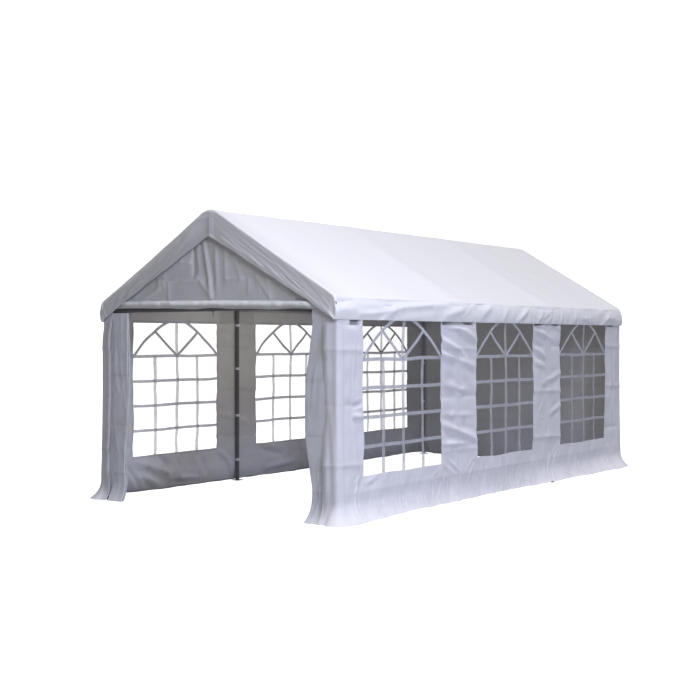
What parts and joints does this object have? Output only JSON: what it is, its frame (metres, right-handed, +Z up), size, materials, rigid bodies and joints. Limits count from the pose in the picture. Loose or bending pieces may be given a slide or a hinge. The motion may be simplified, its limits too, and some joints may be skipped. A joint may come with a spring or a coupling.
{
  "type": "marquee tent",
  "caption": "Gabled party marquee: steel tube frame under a pitched cloth cover, with windowed cloth side walls, a closed back and an open front with curtains tied back.",
  "frame": {"origin": "on the ground, under the middle of the tent, at the centre of its footprint", "axes": "+Z up, +Y along the ridge from the open front gable to the closed back gable, +X to the right of someone who looks in at the front"},
  "size_m": [3.0824, 6.1466, 2.8485],
  "materials": {
    "steel": "charcoal powder coat",
    "cover_cloth": "white coated woven polyethylene",
    "wall_cloth": "white coated woven polyethylene, creased",
    "gable_cloth": "white coated woven polyethylene, in shade",
    "window_film": "clear soft film"
  },
  "bodies": {
    "root": {"leg_left_1": "steel", "leg_left_2": "steel", "leg_left_3": "steel", "leg_left_4": "steel", "leg_right_1": "steel", "leg_right_2": "steel", "leg_right_3": "steel", "leg_right_4": "steel", "rafter_left_1": "steel", "rafter_left_2": "steel", "rafter_left_3": "steel", "rafter_left_4": "steel", "rafter_right_1": "steel", "rafter_right_2": "steel", "rafter_right_3": "steel", "rafter_right_4": "steel", "ridge_connector_1": "steel", "ridge_connector_2": "steel", "ridge_connector_3": "steel", "ridge_connector_4": "steel", "ridge_bar_1": "steel", "ridge_bar_2": "steel", "ridge_bar_3": "steel", "eave_bar_left_1": "steel", "eave_bar_left_2": "steel", "eave_bar_left_3": "steel", "eave_bar_right_1": "steel", "eave_bar_right_2": "steel", "eave_bar_right_3": "steel", "gable_beam_front": "steel", "gable_beam_back": "steel", "roof_cover": "cover_cloth", "side_wall_left": "wall_cloth", "side_wall_right": "wall_cloth", "window_film_left_1": "window_film", "window_film_left_2": "window_film", "window_film_left_3": "window_film", "window_film_right_1": "window_film", "window_film_right_2": "window_film", "window_film_right_3": "window_film", "gable_panel_front": "gable_cloth", "gable_panel_back": "gable_cloth", "front_curtain_left": "gable_cloth", "front_curtain_right": "gable_cloth", "back_wall": "gable_cloth"}
  },
  "joints": []
}
